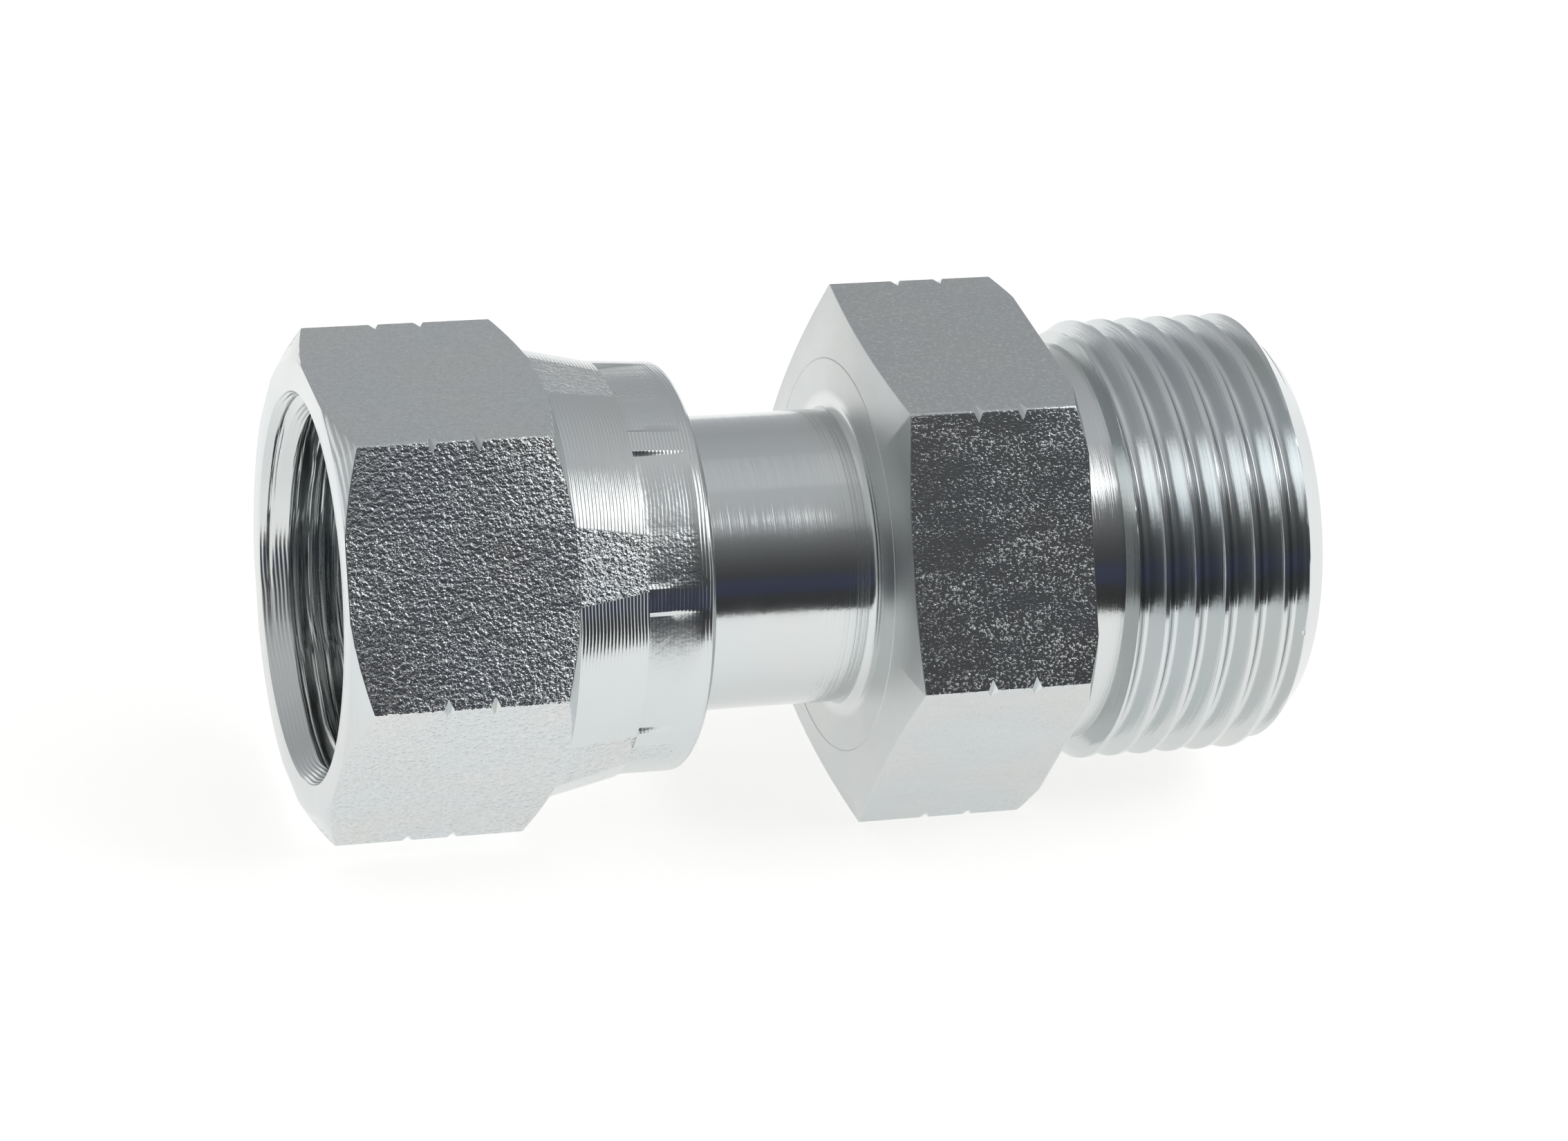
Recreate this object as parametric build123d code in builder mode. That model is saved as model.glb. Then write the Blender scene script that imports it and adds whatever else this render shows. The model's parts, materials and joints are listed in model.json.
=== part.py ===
"""Straight face seal fitting with a swivel nut, zinc plated steel.

One turned body carries, from left to right, a flat sealing nose and a retaining collar, a plain stub,
a hexagon, a relief groove and the male thread with its O-ring groove. The swivel nut was slipped over
the collar from behind and its skirt crimped inward, so it turns freely and can't come off.

Millimetres, Z up. The axis of the fitting is X, the male end points to +X, and the origin is the
centre of the male sealing face. The fitting lies with one flat of the body hexagon downward.
The threads are left plain here, the outer one at its crests and the inner one at its bore.
"""
import os
from math import cos, radians, tan

from build123d import *

# Male end, for a thread of 1 3/16 inch with 12 threads an inch
male_major_r = 15.05
male_length = 17.4
male_end_chamfer = 1.9
relief_length = 3.1
relief_depth = 1.45
relief_wall_run = 0.45

# O-ring groove in the male end face, and the O-ring in it
groove_mean_r = 10.3
groove_width = 2.3
groove_depth = 1.35
ring_section = 1.78
ring_seat_clearance = 0.02

# Body hexagon, its flats a little outside the male thread
hex_over_thread = 0.85
body_hex_length = 13.0
body_face_step = 2.5
body_front_slope = 9.4
body_rear_corner_cut = 1.3

# Plain stub, collar and sealing nose of the body
stub_r = 9.94
stub_length = 16.74
stub_fillet = 0.6
collar_height = 2.46
collar_length = 4.7
nose_length = 1.3
nose_clearance = 0.22
nose_edge_chamfer = 0.3

# Bores through the body
stub_bore_r = 6.0
male_bore_r = 7.75
male_bore_depth = 26.0
drill_point_angle = 59.0
bore_edge_chamfer = 0.4

# Swivel nut, outside
nut_wall = 3.14
nut_hex_length = 15.1
nut_face_width = 2.0
nut_turn = 2.2
skirt_wall = 2.32
skirt_length = 4.85
skirt_drop = 1.05
band_end_drop = 0.29
tail_edge_chamfer = 0.3
tongue_depth = 0.12

# Crimp jaw marks around the skirt
jaw_count = 8
jaw_gap = 6.3
jaw_turn = 20.0
jaw_mark_depth = 0.25
jaw_mark_length = 3.6

# Swivel nut, inside: the bore of a 1 inch thread with 14 threads an inch, and the collar's pocket
collar_hold = 0.69
nut_relief_length = 2.4
nut_relief_depth = 1.1
nut_land_length = 0.6
nut_land_step = 0.35
mouth_rise = 1.35
mouth_taper = 30.0
pocket_clearance = 0.35
pocket_front_float = 0.3
pocket_back_float = 0.5
lip_clearance = 1.36
lip_length = 5.4
lip_edge_chamfer = 0.4

# Shared by both hexagons
hex_edge_radius = 0.25
hex_chamfer_angle = 30.0
nick_width = 0.75
nick_spacing = 3.05
body_nick_start = 5.5
nut_nick_start = 6.05

# How far a cutting shape runs past what it cuts
past = 3.0


def corner_r(across_flats):
    """Radius of the corners of a hexagon."""
    return across_flats / 2 / cos(radians(30))


# Radii and widths of the body that follow from the sizes above
relief_r = male_major_r - relief_depth
male_end_r = male_major_r - male_end_chamfer
body_hex_af = 2 * (male_major_r + hex_over_thread)
body_corner_r = corner_r(body_hex_af)
body_face_r = body_hex_af / 2 - body_face_step
collar_r = stub_r + collar_height

# The bore of the nut is smaller than the collar, so the collar holds the nut
nut_bore_r = collar_r - collar_hold
nut_hex_af = 2 * (nut_bore_r + nut_wall)
nut_corner_r = corner_r(nut_hex_af)
mouth_r = nut_bore_r + mouth_rise
nut_face_r = mouth_r + nut_face_width
nut_relief_r = nut_bore_r + nut_relief_depth
land_r = nut_bore_r - nut_land_step
nose_r = land_r - nose_clearance
pocket_r = collar_r + pocket_clearance
lip_r = stub_r + lip_clearance
skirt_r = pocket_r + skirt_wall
step_r = skirt_r - skirt_drop
band_end_r = step_r - band_end_drop
jaw_mark_r = step_r - jaw_mark_depth

# Places along the axis, from the male face toward the mouth of the nut
x_relief_end = relief_length - male_length
x_hex_rear = -male_length
x_hex_front = x_hex_rear - body_hex_length
x_collar_foot = x_hex_front - stub_length
x_collar_back = x_collar_foot - collar_height
x_collar_front = x_collar_back - collar_length
x_seal = x_collar_front - nose_length
x_pocket_front = x_collar_front - pocket_front_float
x_land = x_pocket_front - nut_land_length
x_nut_relief = x_land - nut_relief_length
x_pocket_back = x_collar_back + collar_r + pocket_back_float - pocket_r
x_lip = x_pocket_back + pocket_r - lip_r
x_tail_end = x_lip + lip_length
x_step = x_lip + (pocket_r - lip_r) / 2
x_skirt = x_step - skirt_length
x_mouth = x_skirt - nut_hex_length


def turned(points, start_turn=0.0, arc=360.0):
    """Solid turned about the axis from the corners of a half section."""
    with BuildPart() as solid:
        with BuildSketch(Plane.XZ.rotated((start_turn, 0, 0))):
            with BuildLine():
                Polyline(*points, close=True)
            make_face()
        revolve(axis=Axis.X, revolution_arc=arc)
    return solid.part


def hexagon_bar(across_flats, x_start, x_end, turn=0.0):
    """Hexagon bar along the axis with its long edges slightly rounded."""
    with BuildPart() as bar:
        with BuildSketch(Plane.YZ.offset(x_start)):
            RegularPolygon(across_flats / 2, 6, major_radius=False, rotation=-turn)
        extrude(amount=x_end - x_start)
        fillet(bar.edges().filter_by(Axis.X), hex_edge_radius)
    return bar.part


def nick_ring(x, hex_corner_r):
    """V groove that nicks only the corners of a hexagon."""
    half = nick_width / 2
    bottom_r = hex_corner_r - half
    return turned([(x, bottom_r), (x - half - past, bottom_r + half + past), (x + half + past, bottom_r + half + past)])


# Hexagon bar that the body is turned from, with the two nicks round its corners
with BuildPart() as body_bar:
    add(hexagon_bar(body_hex_af, x_seal - past, past))
    for nick in range(2):
        add(nick_ring(x_hex_front + body_nick_start + nick * nick_spacing, body_corner_r), mode=Mode.SUBTRACT)

# Body: its turned shape cut from the bar. The hexagon keeps a shallow cone on its front and small
# chamfers on its rear corners, and the male end has a relief with a leaning wall.
hex_cut_r = body_corner_r + past
front_run = (hex_cut_r - body_face_r) * tan(radians(body_front_slope))
rear_chamfer_r = body_corner_r - body_rear_corner_cut
rear_run = (hex_cut_r - rear_chamfer_r) * tan(radians(hex_chamfer_angle))
drill_run = (male_bore_r - stub_bore_r) / tan(radians(drill_point_angle))
with BuildPart() as body:
    with BuildSketch(Plane.XZ) as body_section:
        with BuildLine():
            Polyline(
                (x_seal, stub_bore_r),
                (x_seal, nose_r),
                (x_collar_front, nose_r),
                (x_collar_front, collar_r),
                (x_collar_back, collar_r),
                (x_collar_foot, stub_r),
                (x_hex_front, stub_r),
                (x_hex_front, body_face_r),
                (x_hex_front + front_run, hex_cut_r),
                (x_hex_rear - rear_run, hex_cut_r),
                (x_hex_rear, rear_chamfer_r),
                (x_hex_rear, relief_r),
                (x_relief_end, relief_r),
                (x_relief_end + relief_wall_run, male_major_r),
                (-male_end_chamfer, male_major_r),
                (0, male_end_r),
                (0, male_bore_r),
                (-male_bore_depth, male_bore_r),
                (-male_bore_depth - drill_run, stub_bore_r),
                close=True,
            )
        make_face()
        fillet(body_section.vertices().sort_by_distance((x_hex_front, stub_r))[0], stub_fillet)
        chamfer(body_section.vertices().sort_by_distance((x_seal, nose_r))[0], nose_edge_chamfer)
        chamfer(body_section.vertices().sort_by_distance((x_seal, stub_bore_r))[0], bore_edge_chamfer)
        with Locations((-groove_depth / 2, groove_mean_r)):
            Rectangle(groove_depth, groove_width, mode=Mode.SUBTRACT)
    revolve(axis=Axis.X)
    add(body_bar.part, mode=Mode.INTERSECT)

# O-ring lying on the floor of the groove
with BuildPart() as o_ring:
    with BuildSketch(Plane.XZ):
        with Locations((ring_section / 2 + ring_seat_clearance - groove_depth, groove_mean_r)):
            Circle(ring_section / 2)
    revolve(axis=Axis.X)

# The ribs between the jaw marks are counted from the top, and turn with the nut
first_rib_turn = 90 - nut_turn - jaw_turn

# Stock of the nut: a hexagon bar whose flats run on as shallow tongues down the skirt to a round
# band, with two nicks round the corners and the marks of the crimp jaws
with BuildPart() as nut_bar:
    add(hexagon_bar(nut_hex_af, x_mouth - past, x_skirt, nut_turn))
    with BuildSketch(Plane.YZ.offset(x_skirt)):
        RegularPolygon(nut_hex_af / 2, 6, major_radius=False, rotation=-nut_turn)
    with BuildSketch(Plane.YZ.offset(x_step)):
        RegularPolygon(step_r - tongue_depth, 6, major_radius=False, rotation=-nut_turn)
    loft()
    with BuildSketch(Plane.YZ.offset(x_step)):
        Circle(step_r)
    extrude(amount=x_tail_end + past - x_step)
    for nick in range(2):
        add(nick_ring(x_mouth + nut_nick_start + nick * nick_spacing, nut_corner_r), mode=Mode.SUBTRACT)
    jaw_section = [
        (x_step, jaw_mark_r),
        (x_step + jaw_mark_length, jaw_mark_r),
        (x_step + jaw_mark_length, skirt_r),
        (x_step, skirt_r),
    ]
    for jaw in range(jaw_count):
        jaw_start = first_rib_turn + jaw_gap / 2 + 360 / jaw_count * jaw
        add(turned(jaw_section, jaw_start, 360 / jaw_count - jaw_gap), mode=Mode.SUBTRACT)

# Swivel nut: its turned shape cut from the stock. Outside it has chamfered hexagon corners and a
# leaning skirt, inside a tapered mouth, the bore, its relief, a land, the collar's pocket and the lip.
nut_cut_r = nut_corner_r + past
chamfer_rise = tan(radians(hex_chamfer_angle))
with BuildPart() as swivel_nut:
    with BuildSketch(Plane.XZ) as nut_section:
        with BuildLine():
            Polyline(
                (x_mouth, mouth_r),
                (x_mouth, nut_face_r),
                (x_mouth + (nut_cut_r - nut_face_r) * chamfer_rise, nut_cut_r),
                (x_skirt - (nut_cut_r - skirt_r) * chamfer_rise, nut_cut_r),
                (x_skirt, skirt_r),
                (x_step, step_r),
                (x_tail_end, band_end_r),
                (x_tail_end, lip_r),
                (x_lip, lip_r),
                (x_pocket_back, pocket_r),
                (x_pocket_front, pocket_r),
                (x_pocket_front, land_r),
                (x_land, land_r),
                (x_land, nut_relief_r),
                (x_nut_relief, nut_relief_r),
                (x_nut_relief, nut_bore_r),
                (x_mouth + mouth_rise / tan(radians(mouth_taper)), nut_bore_r),
                close=True,
            )
        make_face()
        chamfer(nut_section.vertices().sort_by_distance((x_tail_end, band_end_r))[0], tail_edge_chamfer)
        chamfer(nut_section.vertices().sort_by_distance((x_tail_end, lip_r))[0], lip_edge_chamfer)
    revolve(axis=Axis.X)
    add(nut_bar.part, mode=Mode.INTERSECT)

os.makedirs("parts", exist_ok=True)
body.part.label = "body"
swivel_nut.part.label = "swivel_nut"
o_ring.part.label = "o_ring"
export_step(body.part, "parts/body.step")
export_step(swivel_nut.part, "parts/swivel_nut.step")
export_step(o_ring.part, "parts/o_ring.step")
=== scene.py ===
# %% [markdown]
# # A face seal fitting in zinc plated steel
#
# The real part is turned from hexagon steel bar and zinc plated. A swivel nut is slipped over the
# collar of the body and its skirt is crimped inward behind it, so the nut turns freely and stays on.
# This lesson dresses the solids of the CAD model: it gives them their threads, softened edges, drawn
# and turned surfaces, and a plain studio to be seen in. All sizes are written in millimetres.

# %% Load the frame
import json
import math

import bpy
import numpy as np
from mathutils import Matrix, Vector

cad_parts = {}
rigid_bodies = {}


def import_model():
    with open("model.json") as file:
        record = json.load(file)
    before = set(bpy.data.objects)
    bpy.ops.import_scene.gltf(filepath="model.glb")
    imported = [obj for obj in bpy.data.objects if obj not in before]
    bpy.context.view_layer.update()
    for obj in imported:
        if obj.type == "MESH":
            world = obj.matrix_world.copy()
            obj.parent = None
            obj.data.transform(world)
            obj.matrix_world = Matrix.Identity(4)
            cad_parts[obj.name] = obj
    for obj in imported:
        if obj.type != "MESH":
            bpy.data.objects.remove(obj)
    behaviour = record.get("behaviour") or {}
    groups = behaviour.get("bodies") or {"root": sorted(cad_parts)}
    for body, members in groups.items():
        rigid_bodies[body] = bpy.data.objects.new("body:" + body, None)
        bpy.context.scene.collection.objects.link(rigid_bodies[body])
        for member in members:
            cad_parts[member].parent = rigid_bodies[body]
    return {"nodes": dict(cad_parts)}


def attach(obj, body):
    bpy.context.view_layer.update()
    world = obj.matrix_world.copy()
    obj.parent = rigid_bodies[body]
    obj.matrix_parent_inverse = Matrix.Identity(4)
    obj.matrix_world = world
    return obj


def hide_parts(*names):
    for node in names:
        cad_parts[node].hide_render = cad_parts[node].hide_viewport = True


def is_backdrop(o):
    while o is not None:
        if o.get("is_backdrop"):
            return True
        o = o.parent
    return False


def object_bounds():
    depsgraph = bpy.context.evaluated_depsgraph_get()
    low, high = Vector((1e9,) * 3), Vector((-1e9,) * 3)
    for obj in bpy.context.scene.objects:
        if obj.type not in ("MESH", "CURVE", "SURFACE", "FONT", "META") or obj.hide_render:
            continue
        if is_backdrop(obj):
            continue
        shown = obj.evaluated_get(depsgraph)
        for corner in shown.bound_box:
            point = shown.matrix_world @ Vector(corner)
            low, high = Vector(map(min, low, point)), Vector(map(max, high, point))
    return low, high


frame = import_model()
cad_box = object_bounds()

MM = 0.001
print("CAD box", cad_box)

# %% [markdown]
# ## The camera
#
# The fitting was seen from its nut end, about 30 degrees above the bench and 20 degrees off square to
# its axis, with the camera rolled a little. The place and the lens come from matching the corners of
# both hexagons, the mouth and the outlines of the tube and the thread to the real sizes.

# %% Camera
camera_place = Vector((-0.1370238, -0.2883035, 0.1773263))
look_right = Vector((0.9546248, -0.2810601, 0.0984717))
look_up = Vector((0.0613505, 0.5091552, 0.8584853))

camera_data = bpy.data.cameras.new("camera")
camera_data.sensor_width = 36.0
camera_data.lens = 120.016
camera_data.clip_start = 0.01
camera_data.clip_end = 20.0
camera = bpy.data.objects.new("camera", camera_data)
bpy.context.scene.collection.objects.link(camera)
camera_axes = Matrix((look_right, look_up, look_right.cross(look_up))).transposed()
camera.matrix_world = Matrix.Translation(camera_place) @ camera_axes.to_4x4()
bpy.context.scene.camera = camera
print("camera at", tuple(round(v, 4) for v in camera_place), "lens", camera_data.lens)

# %% [markdown]
# ## Sizes
#
# The same sizes as in the CAD source, with the origin at the male sealing face and the axis along X.
# The threads are the ones that the plain solids leave out: 12 turns an inch outside on the male end,
# 14 turns an inch inside the nut.

# %% Sizes of the body
male_major_r, male_pitch, male_crest_flat, male_root_r = 15.05, 25.4 / 12, 0.29, 0.34
x_hex_rear, x_hex_front, x_relief_end = -17.4, -30.4, -14.3
relief_r, relief_wall_run, male_end_r = 13.6, 0.45, 13.15
body_af, body_face_r, body_front_slope, rear_corner_r = 31.8, 13.4, 9.4, 17.06
stub_r, stub_fillet, collar_r, nose_r = 9.94, 0.6, 12.4, 11.14
x_collar_foot, x_collar_back, x_collar_front, x_seal = -47.14, -49.6, -54.3, -55.6
stub_bore_r, male_bore_r, male_bore_depth, drill_run = 6.0, 7.75, 26.0, 1.052
groove_in_r, groove_out_r, groove_depth = 9.15, 11.45, 1.35
print("body hexagon", body_af, "mm, thread", 2 * male_major_r, "mm with a pitch of", round(male_pitch, 3))

# %% Sizes of the nut
nut_af, nut_turn, nut_face_r, mouth_r, mouth_lean = 29.7, 2.2, 15.06, 13.06, math.tan(math.radians(30))
nut_minor_r, nut_pitch, nut_crest_flat, nut_root_r = 11.71, 25.4 / 14, 0.30, 0.20
x_mouth, x_skirt, x_step, x_tail = -67.225, -52.125, -47.275, -42.6
x_nut_relief, x_land, x_pocket_front, x_pocket_back, x_lip = -57.6, -55.2, -54.6, -49.45, -48.0
nut_relief_r, land_r, pocket_r, lip_r = 12.81, 11.36, 12.75, 11.3
skirt_r, step_r, band_end_r, tongue_depth, tail_edge = 15.07, 14.02, 13.73, 0.12, 0.3
jaw_count, jaw_turn, jaw_gap, jaw_mark_r, jaw_mark_length = 8, 20.0, 6.3, 13.77, 3.6

# %% Sizes that both hexagons share
hex_edge_r, hex_lean = 0.251, math.tan(math.radians(30))
nick_half, nick_spacing, body_nick_start, nut_nick_start = 0.375, 3.05, 5.5, 6.05
print("nut hexagon", nut_af, "mm, bore of its thread", 2 * nut_minor_r, "mm, pitch", round(nut_pitch, 3))

# %% [markdown]
# ## A net round the axis
#
# Everything here is round or hexagonal about one axis, so each piece is one closed net: rows run along
# the axis at chosen turns, columns run round it. Each column is a place along the profile, and may move
# with the turn, so that it follows a chamfer's curve across a hexagon flat exactly. That keeps every
# edge crisp, which a boolean cut or a subdivision surface would not. A turn of 0 is straight up, and
# turns grow toward the side that faces the camera.

# %% Rows
def rows_at(groups, step=2.0):
    """Turns in degrees from -180 to 180: chosen ones first, then a regular fill between them."""
    chosen = sorted({round((c + d + 180.0) % 360.0 - 180.0, 4)
                     for centres, offsets in groups for c in centres for d in offsets})
    chosen = [-180.0] + [c for c in chosen if -179.95 < c < 179.95] + [180.0]
    rows = [chosen[0]]
    for c in chosen[1:]:
        if c - rows[-1] < 0.04:
            continue
        parts = max(1, math.ceil((c - rows[-1]) / step - 1e-6))
        rows += [rows[-1] + (c - rows[-1]) * (k + 1) / parts for k in range(parts)]
    return np.array(rows)


def both_ways(*offsets):
    """The offsets and their opposites."""
    return sorted({s * o for o in offsets for s in (-1, 1)})


def off_flat(turns, flat_turn):
    """Turn away from the centre of the nearest flat, in degrees."""
    return (turns - flat_turn + 30.0) % 60.0 - 30.0


def hexagon_r(turns, across_flats, flat_turn):
    """Distance from the axis to a hexagon bar whose long edges are slightly rounded."""
    apothem = across_flats / 2
    off = np.radians(np.abs(off_flat(turns, flat_turn)))
    flat = apothem / np.cos(off)
    corner = apothem / math.cos(math.radians(30))
    arc_place = corner - hex_edge_r / math.sin(math.radians(60))
    from_corner = math.radians(30) - off
    beside_arc = arc_place * np.sin(from_corner)
    arc = arc_place * np.cos(from_corner) + np.sqrt(np.maximum(hex_edge_r**2 - beside_arc**2, 0))
    arc_run = 0.577 * hex_edge_r  # how far before the corner the flat turns into the arc
    on_arc = off > math.atan((apothem * math.tan(math.radians(30)) - arc_run) / apothem)
    return np.where(on_arc, arc, flat)


# %% Columns
class Profile:
    """Columns of a net: places along the axis, distances from it, and what each column is part of."""

    def __init__(self, turns):
        self.turns = turns
        self.columns = []

    def add(self, x, r, soften=0.0, drawn=None, warp=None, threaded=0, helical=0,
            grain=0.0, pressed=0.0, satin=0.0):
        full = np.ones_like(self.turns)
        self.columns.append(dict(
            x=x * full, r=r * full, soften=soften, drawn=drawn, warp=warp, threaded=threaded,
            helical=helical, grain=grain * full, pressed=pressed * full, satin=satin * full))

    def softened(self):
        """Replaces each column that is a sharp corner by three close ones, so that the edge catches light."""
        out = []
        n = len(self.columns)
        for k, c in enumerate(self.columns):
            if not c["soften"]:
                out.append(c)
                continue
            before, after = self.columns[k - 1], self.columns[(k + 1) % n]
            ends = []
            for other in (before, after):
                dx, dr = other["x"] - c["x"], other["r"] - c["r"]
                length = np.maximum(np.hypot(dx, dr), 1e-9)
                cut = np.minimum(c["soften"], 0.4 * length)
                ends.append((c["x"] + dx / length * cut, c["r"] + dr / length * cut))
            middle = [0.25 * ends[0][i] + 0.25 * ends[1][i] + 0.5 * (c["x"], c["r"])[i] for i in (0, 1)]
            out.append({**c, "x": ends[0][0], "r": ends[0][1], "drawn": None})
            out.append({**c, "x": middle[0], "r": middle[1], "drawn": None})
            out.append({**c, "x": ends[1][0], "r": ends[1][1]})
        return out


# %% [markdown]
# The net's attributes tell the thread cutter which points are threaded, at which turn they stand and
# where along the axis their column would stand at turn 0. Faces say whether they are drawn bar, whose
# grain was never machined off, or turned metal. Three more numbers tell the materials where the crimp
# left the bar's grain, where its jaws pressed, and which faces are satin.

# %% Net
def net(name, profile):
    columns = profile.softened()
    rows, cols = len(profile.turns), len(columns)
    x = np.array([c["x"] for c in columns])
    r = np.array([c["r"] for c in columns])
    turn = np.array([profile.turns if c["warp"] is None else c["warp"] for c in columns]) / 360.0
    angle = 2 * math.pi * turn
    co = np.stack([x, -r * np.sin(angle), r * np.cos(angle)], -1).reshape(-1, 3) * MM
    k, i = np.meshgrid(np.arange(cols), np.arange(rows - 1), indexing="ij")
    k, i = k.ravel(), i.ravel()
    k2 = (k + 1) % cols
    faces = np.stack([k * rows + i, k * rows + i + 1, k2 * rows + i + 1, k2 * rows + i], -1)
    mesh = bpy.data.meshes.new(name)
    mesh.from_pydata(co.tolist(), [], faces.tolist())
    mesh.update()

    def store(label, kind, values, domain="POINT"):
        data = mesh.attributes.new(label, kind, domain).data
        data.foreach_set("value", np.ascontiguousarray(values).ravel())

    full = np.ones(rows)
    store("turn", "FLOAT", turn.astype(np.float32))
    store("place", "FLOAT", np.array([c["x"] for c in columns], np.float32) * MM)
    for label in ("threaded", "helical"):
        store(label, "BOOLEAN", np.array([full * c[label] for c in columns]) > 0.5)
    for label in ("grain", "pressed", "satin"):
        store(label, "FLOAT", np.array([c[label] for c in columns], np.float32))
    mid = (profile.turns[1:] + profile.turns[:-1]) / 2
    nowhere = np.zeros(rows - 1, bool)
    drawn = np.array([nowhere if c["drawn"] is None else c["drawn"](mid) for c in columns])
    store("drawn", "BOOLEAN", drawn, "FACE")
    piece = bpy.data.objects.new(name, mesh)
    bpy.context.scene.collection.objects.link(piece)
    print(name, rows, "rows", cols, "columns")
    return piece


# %% [markdown]
# ## The thread cutter
#
# A thread follows a helix, so it is made by a Geometry Nodes tree: it slides the threaded columns of a
# net along the axis as they go round, one pitch a turn, and sets each point's distance from the axis by
# a 60 degree profile with a flat crest and a round root. Two sloping limits cut the thread off where
# the relief wall and the end chamfer (or the mouth's taper) stand. The net's two ends then meet one
# pitch apart, and merging by distance welds them. The tree ends by setting both materials.

# %% Small helpers to write a node tree
class Nodes:
    """Short calls that add nodes to a tree. A value that is a socket is linked, any other is set."""

    def __init__(self, tree):
        self.tree = tree

    def node(self, kind, settings=(), inputs=()):
        n = self.tree.nodes.new(kind)
        for key, value in dict(settings).items():
            setattr(n, key, value)
        for key, value in dict(inputs).items():
            self.put(n.inputs[key], value)
        return n

    def put(self, socket, value):
        if isinstance(value, bpy.types.NodeSocket):
            self.tree.links.new(value, socket)
        else:
            socket.default_value = value

    def math(self, operation, *values):
        n = self.node("ShaderNodeMath", dict(operation=operation))
        for k, value in enumerate(values):
            self.put(n.inputs[k], value)
        return n.outputs[0]


class GeometryTree(Nodes):
    """A Geometry Nodes tree with named inputs."""

    def __init__(self, name, inputs):
        super().__init__(bpy.data.node_groups.new(name, "GeometryNodeTree"))
        face = self.tree.interface
        face.new_socket("Geometry", in_out="INPUT", socket_type="NodeSocketGeometry")
        self.ids = {}
        for label, kind in inputs:
            self.ids[label] = face.new_socket(label, in_out="INPUT", socket_type=kind).identifier
        face.new_socket("Geometry", in_out="OUTPUT", socket_type="NodeSocketGeometry")
        self.start = self.tree.nodes.new("NodeGroupInput")
        self.end = self.tree.nodes.new("NodeGroupOutput")

    def pick(self, test, no, yes):
        inputs = {"Switch": test, "False": no, "True": yes}
        return self.node("GeometryNodeSwitch", dict(input_type="FLOAT"), inputs).outputs[0]

    def read(self, label, kind):
        n = self.node("GeometryNodeInputNamedAttribute", dict(data_type=kind), {"Name": label})
        return n.outputs["Attribute"]


# %% The tree that cuts a thread
thread_inputs = [(n, "NodeSocketFloat") for n in (
    "Pitch", "Crest Radius", "Crest Flat", "Root Radius", "Lead", "From", "To", "Side",
    "Low Limit Radius", "Low Limit Slope", "High Limit Radius", "High Limit Slope", "Weld")]
thread_inputs += [("Turned Metal", "NodeSocketMaterial"), ("Drawn Metal", "NodeSocketMaterial")]
cutter = GeometryTree("cut_thread", thread_inputs)
given = {s.name: s for s in cutter.start.outputs if s.name}
S = cutter.math
turn = cutter.read("turn", "FLOAT")
place = cutter.read("place", "FLOAT")
shift = S("MULTIPLY", given["Pitch"], turn)
slid = S("MINIMUM", S("MAXIMUM", S("ADD", place, shift), given["From"]), given["To"])
x = cutter.pick(cutter.read("helical", "BOOLEAN"), place, slid)
# distance from the nearest crest, and from the nearest root; 100 keeps the number positive
half_pitch = S("MULTIPLY", given["Pitch"], 0.5)
pitches = S("DIVIDE", S("SUBTRACT", x, given["Lead"]), given["Pitch"])
phase = S("FRACT", S("ADD", S("SUBTRACT", pitches, turn), 100.5))
off_crest = S("MULTIPLY", S("ABSOLUTE", S("SUBTRACT", phase, 0.5)), given["Pitch"])
off_root = S("SUBTRACT", half_pitch, off_crest)
# depth below the crest on the flank and in the round root
steep, flank_blend = math.sqrt(3.0), 0.05 * MM
half_flat = S("MULTIPLY", given["Crest Flat"], 0.5)
flank = S("MULTIPLY", S("SUBTRACT", off_crest, half_flat), steep)
flank = S("SMOOTH_MAX", flank, 0.0, flank_blend)
sharp_depth = S("MULTIPLY", S("SUBTRACT", half_pitch, half_flat), steep)
arc_depth = S("SUBTRACT", sharp_depth, S("MULTIPLY", given["Root Radius"], 2.0))
arc_square = S("SUBTRACT", S("POWER", given["Root Radius"], 2.0), S("POWER", off_root, 2.0))
arc = S("SQRT", S("MAXIMUM", arc_square, 0.0))
in_root = S("LESS_THAN", off_root, S("MULTIPLY", given["Root Radius"], math.cos(math.radians(30))))
depth = cutter.pick(in_root, flank, S("ADD", arc_depth, arc))


def limit(which, end):
    """The radius of the Low or High limit at x, with the sign of the side."""
    lean = S("MULTIPLY", given[which + " Limit Slope"], S("SUBTRACT", x, given[end]))
    return S("MULTIPLY", S("ADD", given[which + " Limit Radius"], lean), given["Side"])


# side is 1 for an outer thread and -1 for an inner one, so one MINIMUM serves both
reach = S("SUBTRACT", S("MULTIPLY", given["Crest Radius"], given["Side"]), depth)
lowest = S("MINIMUM", S("MINIMUM", reach, limit("Low", "From")), limit("High", "To"))
r = S("MULTIPLY", lowest, given["Side"])
angle = S("MULTIPLY", turn, 2 * math.pi)
y = S("MULTIPLY", S("MULTIPLY", r, S("SINE", angle)), -1.0)
z = S("MULTIPLY", r, S("COSINE", angle))
spot = cutter.node("ShaderNodeCombineXYZ", inputs={"X": x, "Y": y, "Z": z})
moved = cutter.node("GeometryNodeSetPosition", inputs={
    "Geometry": cutter.start.outputs["Geometry"],
    "Selection": cutter.read("threaded", "BOOLEAN"), "Position": spot.outputs[0]})
welded = cutter.node("GeometryNodeMergeByDistance", inputs={
    "Geometry": moved.outputs[0], "Distance": given["Weld"]})
real = cutter.node("GeometryNodeRealizeInstances", inputs={"Geometry": welded.outputs[0]})
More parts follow.
